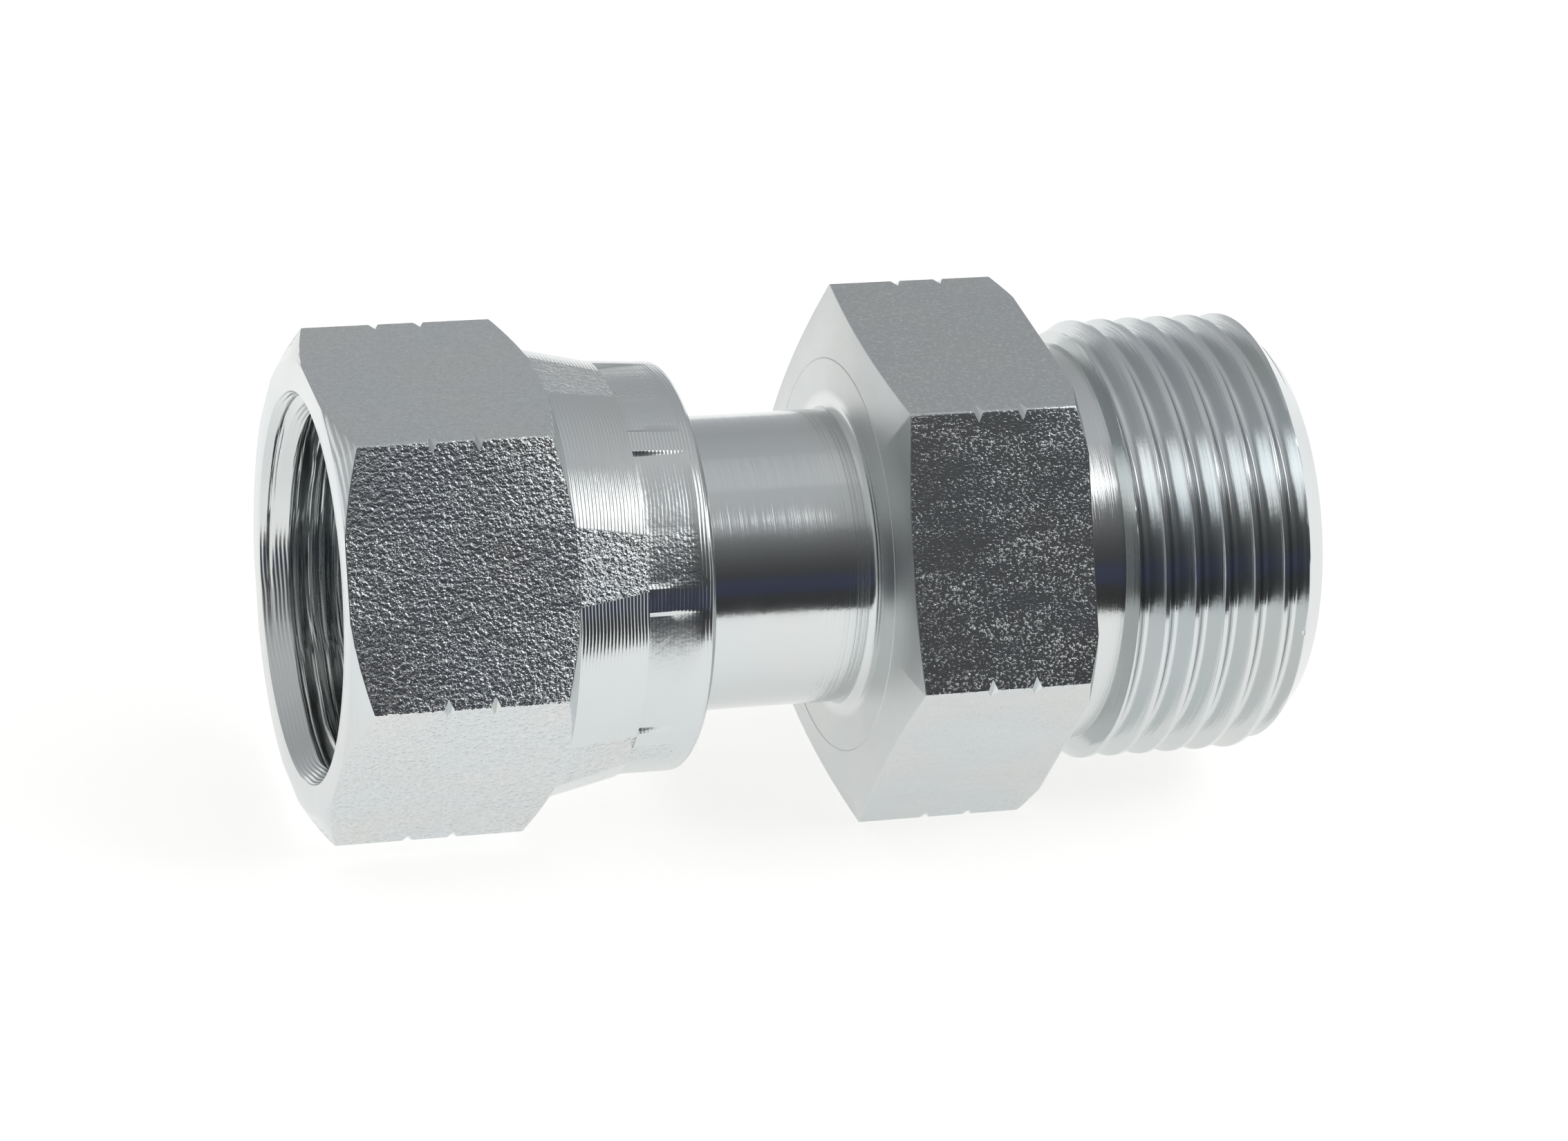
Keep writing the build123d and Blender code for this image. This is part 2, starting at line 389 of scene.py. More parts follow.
turned_all = cutter.node("GeometryNodeSetMaterial", inputs={
    "Geometry": real.outputs[0], "Material": given["Turned Metal"]})
drawn_some = cutter.node("GeometryNodeSetMaterial", inputs={
    "Geometry": turned_all.outputs[0], "Selection": cutter.read("drawn", "BOOLEAN"),
    "Material": given["Drawn Metal"]})
cutter.tree.links.new(drawn_some.outputs[0], cutter.end.inputs[0])
print("thread cutter has", len(cutter.tree.nodes), "nodes")


# %% Using the tree on a net
weld_distance = 2e-6


def cut(piece, lengths, ratios, turned_metal, drawn_metal, sharp_angle=24.0):
    """Runs the thread cutter on a net and keeps the result as a plain mesh. Lengths are in mm."""
    modifier = piece.modifiers.new("thread", "NODES")
    modifier.node_group = cutter.tree
    for label, value in lengths.items():
        modifier[cutter.ids[label]] = float(value * MM)
    for label, value in ratios.items():
        modifier[cutter.ids[label]] = float(value)
    modifier[cutter.ids["Weld"]] = weld_distance
    modifier[cutter.ids["Turned Metal"]] = turned_metal
    modifier[cutter.ids["Drawn Metal"]] = drawn_metal
    evaluated = piece.evaluated_get(bpy.context.evaluated_depsgraph_get())
    mesh = bpy.data.meshes.new_from_object(evaluated)
    piece.modifiers.remove(modifier)
    rough = piece.data
    piece.data = mesh
    bpy.data.meshes.remove(rough)
    mesh.polygons.foreach_set("use_smooth", np.ones(len(mesh.polygons), bool))
    mesh.set_sharp_from_angle(angle=math.radians(sharp_angle))
    for label in ("turn", "place", "threaded", "helical", "drawn"):
        if label in mesh.attributes:
            mesh.attributes.remove(mesh.attributes[label])
    mesh.update()
    count = np.zeros(len(mesh.edges), int)
    edges = np.zeros(len(mesh.loops), int)
    mesh.loops.foreach_get("edge_index", edges)
    np.add.at(count, edges, 1)
    triangles = sum(len(p.vertices) - 2 for p in mesh.polygons)
    print(piece.name, triangles, "triangles,", int((count != 2).sum()), "edges without two faces")
    return piece


# %% [markdown]
# ## Metal
#
# Zinc plate is a bright, slightly blue gray metal. On turned surfaces the tool left fine rings, which
# depend only on the distance travelled along the profile, so their pattern is one-dimensional noise
# over (place along the axis + distance from it). Drawn bar keeps the pickled grain of the mill, which
# plating doesn't fill: a crowd of small pits that sparkle, with painted shade darkening the colour in
# them. Both also vary slowly in tint and gloss.

# %% Shader helpers
class Finish(Nodes):
    """A metal whose pattern stands in Object coordinates."""

    def __init__(self, name, color, roughness):
        self.material = bpy.data.materials.new(name)
        self.material.use_nodes = True
        super().__init__(self.material.node_tree)
        self.shader = self.tree.nodes["Principled BSDF"]
        self.shader.inputs["Base Color"].default_value = (*color, 1)
        self.shader.inputs["Metallic"].default_value = 1.0
        self.shader.inputs["Roughness"].default_value = roughness
        self.place = self.tree.nodes.new("ShaderNodeTexCoord").outputs["Object"]

    def noise(self, scale, detail=2.0, stretch=(1, 1, 1), rough=0.5):
        spread = self.node("ShaderNodeMapping", inputs={"Vector": self.place, "Scale": stretch})
        n = self.node("ShaderNodeTexNoise", dict(noise_dimensions="3D"), {
            "Vector": spread.outputs[0], "Scale": scale, "Detail": detail, "Roughness": rough})
        return n.outputs["Fac"]

    def read(self, label):
        """A number stored on the piece's points, by its name."""
        return self.node("ShaderNodeAttribute", dict(attribute_name=label)).outputs["Fac"]

    def feed_lines(self, feed):
        """A wave along the axis, one crest for each turn of the lathe."""
        part = self.node("ShaderNodeSeparateXYZ", inputs={0: self.place})
        wander = self.math("MULTIPLY", self.noise(90.0), 1.2 * MM)
        along = self.math("ADD", part.outputs[0], wander)
        return self.math("SINE", self.math("MULTIPLY", along, 2 * math.pi / (feed * MM)))

    def rings(self, scale, detail=3.0):
        """Noise over the distance travelled along the profile: rings round the axis."""
        part = self.node("ShaderNodeSeparateXYZ", inputs={0: self.place})
        y, z = part.outputs[1], part.outputs[2]
        square = self.math("ADD", self.math("MULTIPLY", y, y), self.math("MULTIPLY", z, z))
        outward = self.math("MULTIPLY", self.math("SQRT", square), 1.31)
        along = self.math("ADD", part.outputs[0], outward)
        n = self.node("ShaderNodeTexNoise", dict(noise_dimensions="1D"), {
            "W": along, "Scale": scale, "Detail": detail, "Roughness": 0.6})
        return n.outputs["Fac"]

    def scratch(self, start, end, half_width=0.06):
        """1 along a straight scratch on the top flat between two places (x, y) in mm, and 0 elsewhere."""
        run = Vector(end) - Vector(start)
        length = run.length * MM
        run.normalize()
        part = self.node("ShaderNodeSeparateXYZ", inputs={0: self.place})
        x = self.math("SUBTRACT", part.outputs[0], start[0] * MM)
        y = self.math("SUBTRACT", part.outputs[1], start[1] * MM)

        def reach(to_x, to_y):
            return self.math("ADD", self.math("MULTIPLY", x, to_x), self.math("MULTIPLY", y, to_y))

        along, across = reach(run.x, run.y), self.math("ABSOLUTE", reach(-run.y, run.x))
        line = self.spread(across, 0, half_width * MM, 1, 0)
        on_top = self.math("GREATER_THAN", part.outputs[2], 15.5 * MM)
        started = self.math("GREATER_THAN", along, 0.0)
        for test in (started, self.math("LESS_THAN", along, length), on_top):
            line = self.math("MULTIPLY", line, test)
        return line

    def spread(self, value, low, high, new_low, new_high):
        n = self.node("ShaderNodeMapRange", inputs={
            "Value": value, "From Min": low, "From Max": high, "To Min": new_low, "To Max": new_high})
        return n.outputs[0]

    def plated(self, color, clouds):
        """The color, a little cooler or warmer from place to place."""
        cool = tuple(c * k for c, k in zip(color, (0.98, 1.0, 1.01)))
        warm = tuple(c * k for c, k in zip(color, (1.01, 1.0, 0.98)))
        n = self.node("ShaderNodeMix", dict(data_type="RGBA"), {
            "Factor": self.spread(clouds, 0.35, 0.65, 0, 1), 6: (*cool, 1), 7: (*warm, 1)})
        return n.outputs[2]

    def gloss(self, roughness, scale):
        """The roughness, varied a little from place to place."""
        return self.spread(self.noise(scale), 0.3, 0.7, roughness - 0.03, roughness + 0.05)

    def dim(self, color, value, low):
        """The color, dimmed to low where the value is 0 and full where it is 1."""
        n = self.node("ShaderNodeMix", dict(data_type="RGBA", blend_type="MULTIPLY"), {
            "Factor": 1.0, 6: color, 7: self.spread(value, 0, 1, low, 1.0)})
        return n.outputs[2]

    def bump(self, layers, strength=1.0):
        """Layers are pairs: height, and distance in mm."""
        normal = None
        for height, distance in layers:
            n = self.node("ShaderNodeBump", inputs={
                "Height": height, "Strength": strength, "Distance": distance * MM})
            if normal is not None:
                self.put(n.inputs["Normal"], normal)
            normal = n.outputs[0]
        self.put(self.shader.inputs["Normal"], normal)


# %% Turned zinc
nut_grain, jaw_print_depth, band_grain_depth, satin_roughness = 3500.0, 0.02, 0.10, 0.26


def turned_zinc(name, color, roughness, ring_depth, feed=0.0, feed_depth=0.0):
    """Turned metal: irregular fine rings, and where the feed was coarse an even line at each turn."""
    finish = Finish(name, color, roughness)
    inputs = finish.shader.inputs
    finish.put(inputs["Base Color"], finish.plated(color, finish.noise(120.0, 3.0, (1, 0.4, 0.4))))
    dull = finish.math("MULTIPLY", finish.read("satin"), satin_roughness)
    finish.put(inputs["Roughness"], finish.math("ADD", finish.gloss(roughness, 180.0), dull))
    layers = [(finish.noise(2600.0, 2.0), 0.003), (finish.rings(1500.0), ring_depth * 2.5),
              (finish.rings(9000.0), ring_depth)]
    if feed:
        pressed, grain = finish.read("pressed"), finish.read("grain")
        fading = finish.spread(pressed, 0, 1, 1.0, 0.4)
        lines = finish.math("MULTIPLY", finish.feed_lines(feed), fading)
        jaws = finish.math("MULTIPLY", finish.noise(2300.0, 3.0, rough=0.6), pressed)
        bar = finish.math("MULTIPLY", finish.noise(nut_grain, 2.0, rough=0.55), grain)
        layers += [(lines, feed_depth), (jaws, jaw_print_depth), (bar, band_grain_depth)]
    finish.bump(layers)
    return finish.material


# %% Drawn zinc
# the first number is how far the colour is darkened in the low places of the grain: painted shade in the pits
pit_painted_shade, scratch_depth = 0.86, -0.02


def drawn_zinc(name, color, roughness, scale, depth, low, high, patchy,
               stretch=(1, 1, 1), scratch=None):
    """Bar as it was drawn: noise between low and high makes the height, so narrow limits leave flat
    metal with scattered pits, and wide ones a grain all over."""
    finish = Finish(name, color, roughness)
    fine = finish.spread(finish.noise(scale, 2.0, stretch, rough=0.55), low, high, 0, 1)
    clouds = finish.noise(700.0, 3.0, (0.25, 1, 1), rough=0.6)
    patches = finish.spread(clouds, 0.3, 0.7, patchy, 1.0)
    tinted = finish.plated(color, finish.noise(150.0, 3.0))
    # the base colour is dimmed where the grain's height is low: painted shade in the pits and troughs
    finish.put(finish.shader.inputs["Base Color"], finish.dim(tinted, fine, pit_painted_shade))
    finish.put(finish.shader.inputs["Roughness"], finish.gloss(roughness, scale * 0.5))
    layers = [(finish.math("MULTIPLY", fine, patches), depth)]
    if scratch:
        layers.append((finish.scratch(*scratch), scratch_depth))
    finish.bump(layers)
    return finish.material


# %% The four finishes of the metal
zinc = (0.665, 0.685, 0.69)
bar_zinc = (0.705, 0.728, 0.738)
top_scratch = ((-29.64, 3.72), (-23.67, 5.10))
body_turned = turned_zinc("body_turned_zinc", zinc, 0.13, 0.006)
body_drawn = drawn_zinc("body_drawn_zinc", bar_zinc, 0.12, 6200.0, 0.042, 0.54, 0.82, 0.3,
                        (0.75, 1, 1), scratch=top_scratch)
nut_turned = turned_zinc("nut_turned_zinc", zinc, 0.15, 0.005, feed=0.25, feed_depth=0.0085)
nut_drawn = drawn_zinc("nut_drawn_zinc", bar_zinc, 0.12, nut_grain, 0.08, 0.25, 0.75, 0.8)

# %% Rubber of the O-ring
rubber = Finish("seal_rubber_black", (0.02, 0.02, 0.022), 0.45)
rubber.shader.inputs["Metallic"].default_value = 0.0
rubber_gloss = rubber.spread(rubber.noise(400.0), 0.3, 0.7, 0.38, 0.55)
rubber.put(rubber.shader.inputs["Roughness"], rubber_gloss)
rubber.bump([(rubber.noise(6000.0), 0.01)], strength=0.3)
finishes = (body_turned, body_drawn, nut_turned, nut_drawn, rubber.material)
print("finishes", [m.name for m in finishes])

# %% [markdown]
# ## The body
#
# One net goes along the outside from the sealing nose to the male face and back through the bore. At
# the hexagon each row stops where the shallow front cone and the rear corner chamfers meet the bar, so
# the curved edges of the flats come out exact. The two V nicks only reach the corners of the bar.

# %% Handling marks on the thread's last turns
# (turn in degrees, place along the axis, half length round, half width along, depth; negative is a burr)
thread_marks = [(88.4, -1.75, 0.30, 0.28, 0.16), (90.7, -3.9, 0.22, 0.20, 0.08),
                (121.0, -1.75, 0.25, 0.20, -0.12), (-5.5, -2.6, 0.25, 0.2, 0.12)]


def mark(piece, marks, above):
    """Presses small dents into the crests of a thread, or raises burrs on them."""
    mesh = piece.data
    co = np.empty(len(mesh.vertices) * 3)
    mesh.vertices.foreach_get("co", co)
    co = co.reshape(-1, 3)
    r = np.hypot(co[:, 1], co[:, 2])
    turn = np.degrees(np.arctan2(-co[:, 1], co[:, 2]))
    moved = 0
    for turn_at, place_at, half_round, half_along, depth in marks:
        round_off = np.radians((turn - turn_at + 180) % 360 - 180) * r / (half_round * MM)
        along_off = (co[:, 0] - place_at * MM) / (half_along * MM)
        weight = np.clip(1 - round_off**2 - along_off**2, 0, 1) * (r > above * MM)
        co[:, 1:] *= (1 - weight * depth * MM / r)[:, None]
        moved += int((weight > 0).sum())
    mesh.vertices.foreach_set("co", co.ravel())
    mesh.update()
    print(piece.name, moved, "points moved for", len(marks), "marks")


# %% Rows of the body
body_flats = [60.0 * k for k in range(6)]
body_corners = [30.0 + 60.0 * k for k in range(6)]
marked_turns = [turn_at for turn_at, *_ in thread_marks]
body_rows = rows_at([
    (body_flats, [0.0]),
    (body_corners, [0.0] + both_ways(0.15, 0.3, 0.45, 1.0, 1.6, 2.14, 3.5)),
    (marked_turns, [0.0] + both_ways(0.3, 0.6, 0.95, 1.4))])
body_net = Profile(body_rows)
bar_r = hexagon_r(body_rows, body_af, 0.0)


# %% Hexagon columns
def on_bar(turns):
    """The whole hexagon surface between its chamfers is drawn bar."""
    return np.ones(len(turns), bool)


def nick_columns(profile, x, bar, corner):
    """A V nick: it is as wide as the bar stands above its bottom, and nothing where the bar is lower."""
    bottom = corner - nick_half
    half = np.maximum(bar - bottom, 0.0)
    profile.add(x - half, bar)
    profile.add(x, np.minimum(bar, bottom))
    profile.add(x + half, bar, drawn=on_bar)


# %% Outside of the body
arc_steps = [math.radians(a) for a in (0, 15, 30, 45, 60, 75, 90)]
body_net.add(x_seal, stub_bore_r + 0.4, soften=0.03)
body_net.add(x_seal, nose_r - 0.3, soften=0.03)
body_net.add(x_seal + 0.3, nose_r, soften=0.03)
body_net.add(x_collar_front, nose_r)
body_net.add(x_collar_front, collar_r, soften=0.1)
body_net.add(x_collar_back, collar_r, soften=0.1)
body_net.add(x_collar_foot, stub_r)
for k in range(1, 4):
    body_net.add(x_collar_foot + (x_hex_front - stub_fillet - x_collar_foot) * k / 4, stub_r)
for a in arc_steps:
    body_net.add(x_hex_front - stub_fillet + stub_fillet * math.sin(a),
                 stub_r + stub_fillet - stub_fillet * math.cos(a))
body_net.add(x_hex_front, stub_r + stub_fillet + 0.7, satin=1.0)
body_net.add(x_hex_front, body_face_r - 0.1, satin=1.0)
body_net.add(x_hex_front + 0.05, body_face_r - 0.04, satin=1.0)
body_net.add(x_hex_front, body_face_r + 0.02, satin=1.0)
front_lean = math.tan(math.radians(body_front_slope))
body_net.add(x_hex_front + (bar_r - body_face_r) * front_lean, bar_r,
             soften=0.07, drawn=on_bar, satin=1.0)
body_corner = body_af / 2 / math.cos(math.radians(30))
for k in range(2):
    nick_columns(body_net, x_hex_front + body_nick_start + k * nick_spacing, bar_r, body_corner)
body_net.add(x_hex_rear - np.maximum(bar_r - rear_corner_r, 0) * hex_lean, bar_r, soften=0.07)
body_net.add(x_hex_rear, np.minimum(bar_r, rear_corner_r), soften=0.05)
relief_edge = 0.25
body_net.add(x_hex_rear, relief_r + relief_edge)
for a in arc_steps[1:-1]:
    body_net.add(x_hex_rear + relief_edge - relief_edge * math.cos(a),
                 relief_r + relief_edge - relief_edge * math.sin(a))
body_net.add(x_hex_rear + relief_edge, relief_r)
print("outside of the body has", len(body_net.columns), "columns before its thread")

# %% Threaded columns of the male end
thread_margin, wall_columns, per_pitch, crest_before_wall = 0.1, 9, 32, 2.215
x_wall_top = x_relief_end + relief_wall_run
for k in range(wall_columns):
    body_net.add(x_relief_end + relief_wall_run * k / wall_columns, relief_r, threaded=1)
male_lead = x_relief_end - crest_before_wall + 2 * male_pitch
lead_steps = math.floor((x_relief_end - male_lead) / male_pitch * per_pitch)
first = math.floor((x_wall_top - 0.5 * male_pitch - x_relief_end) / male_pitch * per_pitch) - 1
last = math.ceil((0.5 * male_pitch - x_relief_end) / male_pitch * per_pitch) + 1
for k in range(first, last + 1):
    body_net.add(male_lead + male_pitch / per_pitch * (k + lead_steps), male_major_r,
                 threaded=1, helical=1)
print("male thread has", last + 1 - first, "helical columns")

# %% Male face and bores
body_net.add(-thread_margin, male_end_r + thread_margin)
body_net.add(0.0, male_end_r, soften=0.04)
body_net.add(0.0, groove_out_r, soften=0.04)
body_net.add(-groove_depth, groove_out_r)
body_net.add(-groove_depth, groove_in_r)
body_net.add(0.0, groove_in_r, soften=0.04)
body_net.add(0.0, male_bore_r, soften=0.1)
body_net.add(-male_bore_depth, male_bore_r)
body_net.add(-male_bore_depth - drill_run, stub_bore_r)
body_net.add(x_seal + 0.4, stub_bore_r, soften=0.03)
body_piece = net("threaded_body", body_net)
cut(body_piece, {
    "Pitch": male_pitch, "Crest Radius": male_major_r, "Crest Flat": male_crest_flat,
    "Root Radius": male_root_r, "Lead": male_lead, "From": x_wall_top, "To": -thread_margin,
    "Low Limit Radius": male_major_r, "High Limit Radius": male_end_r + thread_margin,
}, {
    "Side": 1.0, "Low Limit Slope": (male_major_r - relief_r) / relief_wall_run, "High Limit Slope": -1.0,
}, body_turned, body_drawn)
mark(body_piece, thread_marks, 14.5)

# %% [markdown]
# ## The swivel nut
#
# The nut is drawn bar outside and turned everywhere else. Behind its hexagon the skirt was turned to a
# lean cone, but the six flats dip under that cone, so they run on as grainy tongues between shiny
# windows. The crimp pressed eight jaws into the band behind it, and metal rose between them as ribs.

# %% Rows of the nut
nut_flats = [60.0 * k - nut_turn for k in range(6)]
nut_corners = [30.0 + 60.0 * k - nut_turn for k in range(6)]
first_rib = 90.0 - nut_turn - jaw_turn
ribs = [first_rib + 360.0 / jaw_count * k for k in range(jaw_count)]


def flat_half_width(x):
    """Turn from a tongue's middle to its edge, in degrees, and both surfaces' distances from the axis."""
    s = (x - x_skirt) / (x_step - x_skirt)
    apothem = nut_af / 2 + (step_r - tongue_depth - nut_af / 2) * s
    cone = skirt_r + (step_r - skirt_r) * s
    return math.degrees(math.acos(apothem / cone)), apothem, cone


tongue_half = flat_half_width(x_skirt)[0]
rib_half, rib_flank = jaw_gap / 2, 1.3
nut_rows = rows_at([
    (nut_flats, [0.0] + both_ways(tongue_half, tongue_half - 0.35, tongue_half + 0.35)),
    (nut_corners, [0.0] + both_ways(0.16, 0.32, 0.48, 1.1, 1.7, 2.2, 3.6)),
    (ribs, [0.0] + both_ways(rib_half, rib_half - 0.3, rib_half + rib_flank,
                             rib_half + rib_flank * 0.5))])
nut_bar_r = hexagon_r(nut_rows, nut_af, -nut_turn)
nut_off = off_flat(nut_rows, -nut_turn)
nut_net = Profile(nut_rows)


# %% Hexagon of the nut
nut_corner = nut_af / 2 / math.cos(math.radians(30))
nut_net.add(x_mouth, mouth_r, soften=0.05)
nut_net.add(x_mouth, np.minimum(nut_bar_r, nut_face_r), soften=0.06)
nut_net.add(x_mouth + np.maximum(nut_bar_r - nut_face_r, 0) * hex_lean, nut_bar_r,
            soften=0.07, drawn=on_bar)
for k in range(2):
    nick_columns(nut_net, x_mouth + nut_nick_start + k * nick_spacing, nut_bar_r, nut_corner)


# %% Skirt with its tongues
def in_tongue(turns):
    """Between two edges of a tongue."""
    return np.abs(off_flat(turns, -nut_turn)) < tongue_half


def skirt_warp(x):
    """Rows lean so that one of them stays on the tongue's edge all the way down the skirt."""
    edge = flat_half_width(x)[0]
    size = np.abs(nut_off)
    outside = edge + (size - tongue_half) * (30 - edge) / (30 - tongue_half)
    leaned = np.where(size < tongue_half, size * edge / tongue_half, outside)
    return nut_rows + np.sign(nut_off) * (leaned - size), leaned


nut_net.add(x_skirt - np.maximum(nut_bar_r - skirt_r, 0) * hex_lean, nut_bar_r,
            soften=0.06, drawn=in_tongue)
skirt_steps = 12
for k in range(skirt_steps + 1):
    x_at = x_skirt + (x_step - x_skirt) * k / skirt_steps
    edge, apothem, cone = flat_half_width(x_at)
    warp, leaned = skirt_warp(x_at)
    r_at = np.minimum(cone, apothem / np.cos(np.radians(leaned)))
    nut_net.add(x_at, r_at, drawn=in_tongue if k < skirt_steps else None, warp=warp)
print("tongues", round(2 * tongue_half, 1), "degrees wide at the hexagon,", round(2 * edge, 1), "at the step")

# %% Crimped band with its ribs
off_rib = np.min([np.abs((nut_rows - c + 180) % 360 - 180) for c in ribs], axis=0)
rise = 1 - np.clip((off_rib - rib_half) / rib_flank, 0, 1)
rise = rise * rise * (3 - 2 * rise)
band_grain = np.clip((9.5 - np.abs(nut_off)) / 3.0, 0, 1) * (1 - rise)
band_steps = 6


def band_r(x):
    """Distance from the axis of the band where nothing pressed it."""
    return step_r + (band_end_r - step_r) * (x - x_step) / (x_tail - x_step)


for k in range(band_steps + 1):
    x_at = x_step + jaw_mark_length * k / band_steps
    plain = band_r(x_at)
    fade = min(1.0, (6.4 - k) / 2)
    nut_net.add(x_at, jaw_mark_r + (plain - jaw_mark_r) * rise, soften=0.04 if k == 0 else 0.0,
                grain=band_grain * fade, pressed=(1 - rise) * fade, satin=0.4 * (1 - rise) * fade)
x_ring = x_step + jaw_mark_length + 0.06
nut_net.add(x_ring, band_r(x_ring))
band_slope = (step_r - band_end_r) / (x_tail - x_step)
nut_net.add(x_tail - tail_edge, band_end_r + tail_edge * band_slope, soften=0.12)
nut_net.add(x_tail, band_end_r - tail_edge, soften=0.12)
nut_net.add(x_tail, lip_r + 0.4, soften=0.05)

# %% Inside of the nut
nut_net.add(x_tail - 0.4, lip_r, soften=0.05)
nut_net.add(x_lip, lip_r)
nut_net.add(x_pocket_back, pocket_r)
nut_net.add(x_pocket_front, pocket_r)
nut_net.add(x_pocket_front, land_r)
nut_net.add(x_land, land_r)
nut_net.add(x_land, nut_relief_r)
nut_net.add(x_nut_relief, nut_relief_r)
crest_before_mouth, nut_per_pitch = 1.615, 24
nut_lead = x_mouth - crest_before_mouth + 2 * nut_pitch
first = math.floor((x_mouth - 0.5 * nut_pitch - nut_lead) / nut_pitch * nut_per_pitch) - 1
last = math.ceil((x_nut_relief + 0.5 * nut_pitch - nut_lead) / nut_pitch * nut_per_pitch) + 1
for k in range(last, first - 1, -1):
    nut_net.add(nut_lead + nut_pitch / nut_per_pitch * k, nut_minor_r, threaded=1, helical=1)
nut_net.add(x_mouth + thread_margin, mouth_r - thread_margin * mouth_lean)
nut_piece = net("crimped_swivel_nut", nut_net)
cut(nut_piece, {
    "Pitch": nut_pitch, "Crest Radius": nut_minor_r, "Crest Flat": nut_crest_flat,
    "Root Radius": nut_root_r, "Lead": nut_lead, "From": x_mouth + thread_margin, "To": x_nut_relief,
    "Low Limit Radius": mouth_r - thread_margin * mouth_lean, "High Limit Radius": 0.0,
}, {
    "Side": -1.0, "Low Limit Slope": -mouth_lean, "High Limit Slope": 0.0,
}, nut_turned, nut_drawn)

# %% [markdown]
# ## Riding and replacing
#
# The body rides on the CAD body named body, the nut on the one named nut, so the nut turns in the
# poses. The O-ring keeps its CAD solid, which is already the right shape, and only gets its rubber.

# %% Ride, replace, repaint
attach(body_piece, "body")
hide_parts("body")
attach(nut_piece, "nut")
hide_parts("swivel_nut")
ring = frame["nodes"]["o_ring"]
for material_slot in ring.material_slots:
    material_slot.material = rubber.material
print("dressed", [piece.name for piece in (body_piece, nut_piece, ring)])

# %% [markdown]
# ## A plain studio
#
# The fitting lies on a pale sheet near its front edge. Bright metal shows mostly what stands round it:
# the sheet below, a dark room behind the camera, and a soft gray ceiling. The sheet and the sky look
# white to the camera, and the room is a gradient over direction in the world shader.

# %% Sheet
floor_z = -body_af / 2 * MM
sheet_mesh = bpy.data.meshes.new("sheet")
left, right, near, far = -1.2, 1.2, -0.095, 0.5
corners = [(left, near, floor_z), (right, near, floor_z), (right, far, floor_z), (left, far, floor_z)]
sheet_mesh.from_pydata(corners, [], [(0, 1, 2, 3)])
sheet = bpy.data.objects.new("sheet", sheet_mesh)
bpy.context.scene.collection.objects.link(sheet)
sheet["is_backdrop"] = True


def rays(nodes, *kinds):
    """1 for the rays of these kinds and 0 for all others."""
    path = nodes.node("ShaderNodeLightPath")
    seen = path.outputs[kinds[0]]
    for kind in kinds[1:]:
        seen = nodes.math("MAXIMUM", seen, path.outputs[kind])
    return seen


paper = bpy.data.materials.new("sheet_paper")
paper.use_nodes = True
page = Nodes(paper.node_tree)
page.tree.nodes.clear()
matte = page.node("ShaderNodeBsdfDiffuse", inputs={"Color": (0.75, 0.75, 0.745, 1)}).outputs[0]
glow = page.node("ShaderNodeEmission", inputs={"Color": (1.0, 0.995, 0.975, 1), "Strength": 0.68})
both = page.node("ShaderNodeAddShader", inputs={0: matte, 1: glow.outputs[0]})
seen = rays(page, "Is Camera Ray", "Is Glossy Ray", "Is Transmission Ray")
choose = page.node("ShaderNodeMixShader", inputs={0: seen, 1: matte, 2: both.outputs[0]})
page.node("ShaderNodeOutputMaterial", inputs={0: choose.outputs[0]})
sheet_mesh.materials.append(paper)
print("sheet lies at", round(floor_z / MM, 2), "mm")

# %% Room
world = bpy.data.worlds.new("room")
bpy.context.scene.world = world
world.use_nodes = True
sky = Nodes(world.node_tree)
sky.tree.nodes.clear()
toward = sky.node("ShaderNodeTexCoord").outputs["Generated"]
parts = sky.node("ShaderNodeSeparateXYZ", inputs={0: toward})
to_side, to_back, upward = parts.outputs
lift = sky.math("ARCTAN2", upward, sky.math("MULTIPLY", to_back, -1.0))
scaled = sky.node("ShaderNodeMapRange", inputs={"Value": lift, "From Min": -math.pi, "From Max": math.pi})
bands = sky.node("ShaderNodeValToRGB", inputs={0: scaled.outputs[0]})
# (degrees above the horizon on the camera's side, gray level, blue lift)
room_bands = [
    (-180, 0.60, 0.0), (-150, 0.55, 0.0), (-100, 0.3, 0.0), (-90, 0.05, 0.0), (-12, 0.04, 0.0),
    (2, 0.05, 0.0), (6, 0.055, 0.04), (14, 0.06, 0.04), (19, 0.065, 0.0), (30, 0.10, 0.0),
    (40, 0.155, 0.0), (48, 0.22, 0.0), (56, 0.43, 0.0), (66, 0.52, 0.0), (80, 0.56, 0.0),
    (100, 0.55, 0.0), (130, 0.49, 0.0), (148, 0.44, 0.0), (165, 0.47, 0.0), (180, 0.60, 0.0)]
ramp = bands.color_ramp.elements
for index, (degrees, level, blue) in enumerate(room_bands):
    place = (degrees + 180) / 360
    stop = ramp[index] if index < 2 else ramp.new(place)
    stop.position = place
    stop.color = (level * 0.98, level + blue * 0.1, level * 1.02 + blue, 1)
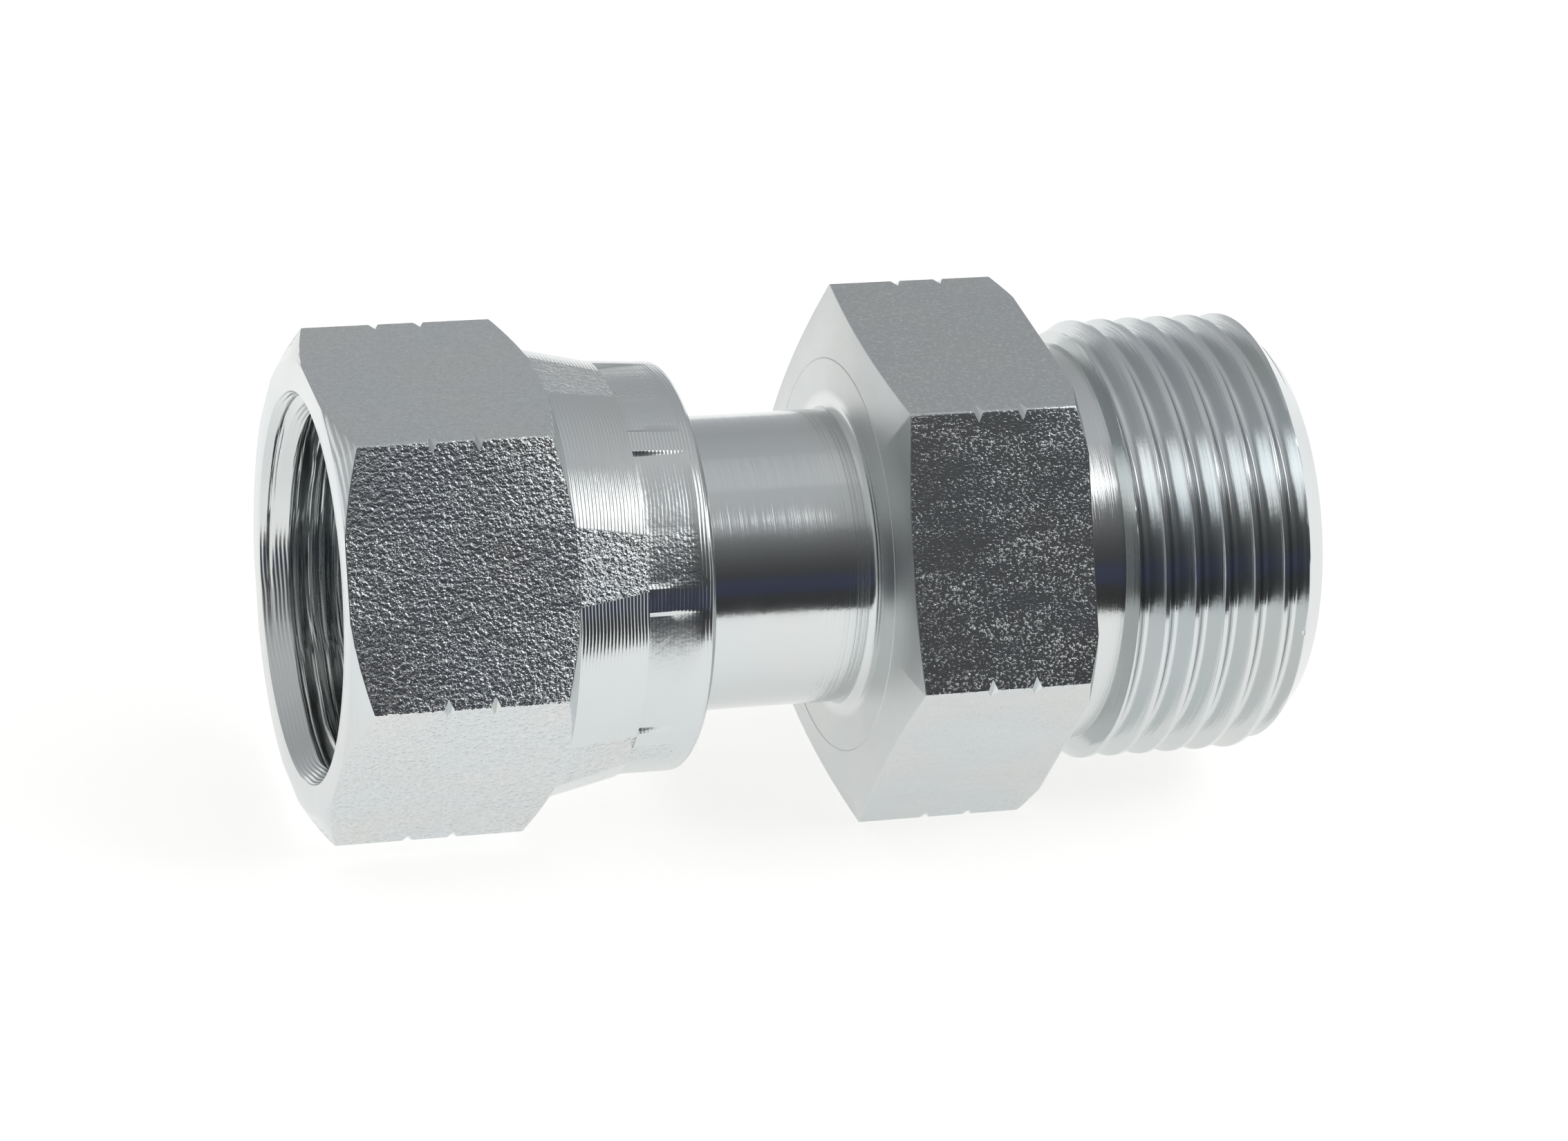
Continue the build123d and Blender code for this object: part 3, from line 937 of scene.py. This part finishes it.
# toward the two ends of the fitting the room is lighter, whatever the height
near_end = sky.node("ShaderNodeMapRange", dict(interpolation_type="SMOOTHSTEP"), {
    "Value": sky.math("ABSOLUTE", to_side), "From Min": 0.68, "From Max": 0.95})
sides = sky.node("ShaderNodeMix", dict(data_type="RGBA"), {
    "Factor": sky.math("GREATER_THAN", to_side, 0.5), 6: (0.62, 0.63, 0.64, 1), 7: (0.78, 0.79, 0.80, 1)})
all_round = sky.node("ShaderNodeMix", dict(data_type="RGBA"), {
    "Factor": near_end.outputs[0], 6: bands.outputs[0], 7: sides.outputs[2]})
room = sky.node("ShaderNodeBackground", inputs={0: all_round.outputs[2]})
white = sky.node("ShaderNodeBackground", inputs={0: (1, 1, 1, 1)})
seen = rays(sky, "Is Camera Ray", "Is Transmission Ray")
choose = sky.node("ShaderNodeMixShader", inputs={0: seen, 1: room.outputs[0], 2: white.outputs[0]})
sky.node("ShaderNodeOutputWorld", inputs={0: choose.outputs[0]})
print("room has", len(ramp), "bands")


# %% Lamps
def soft_lamp(name, place, aim, size, level):
    """A softbox that shows this gray level in a mirror."""
    data = bpy.data.lights.new(name, "AREA")
    data.shape = "RECTANGLE"
    data.size, data.size_y = size
    data.energy = level * size[0] * size[1] * math.pi
    lamp = bpy.data.objects.new(name, data)
    lamp.location = place
    lamp.rotation_euler = (Vector(aim) - Vector(place)).to_track_quat("-Z", "Y").to_euler()
    bpy.context.scene.collection.objects.link(lamp)
    return lamp


lamps = [soft_lamp("top_softbox", (-0.05, 0.10, 0.65), (-0.03, 0, 0), (0.5, 0.35), 0.1),
         soft_lamp("right_softbox", (0.324, -0.174, 0.378), (-0.05, 0, 0), (0.3, 0.3), 1.5)]
print("lamps", {lamp.name: round(lamp.data.energy, 4) for lamp in lamps})
bpy.context.scene.view_settings.view_transform = "Standard"

# %% Measure and finish
visual_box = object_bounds()
for label, box in (("CAD", cad_box), ("visual", visual_box)):
    print(label, "box in mm", [[round(v / MM, 3) for v in corner] for corner in box])
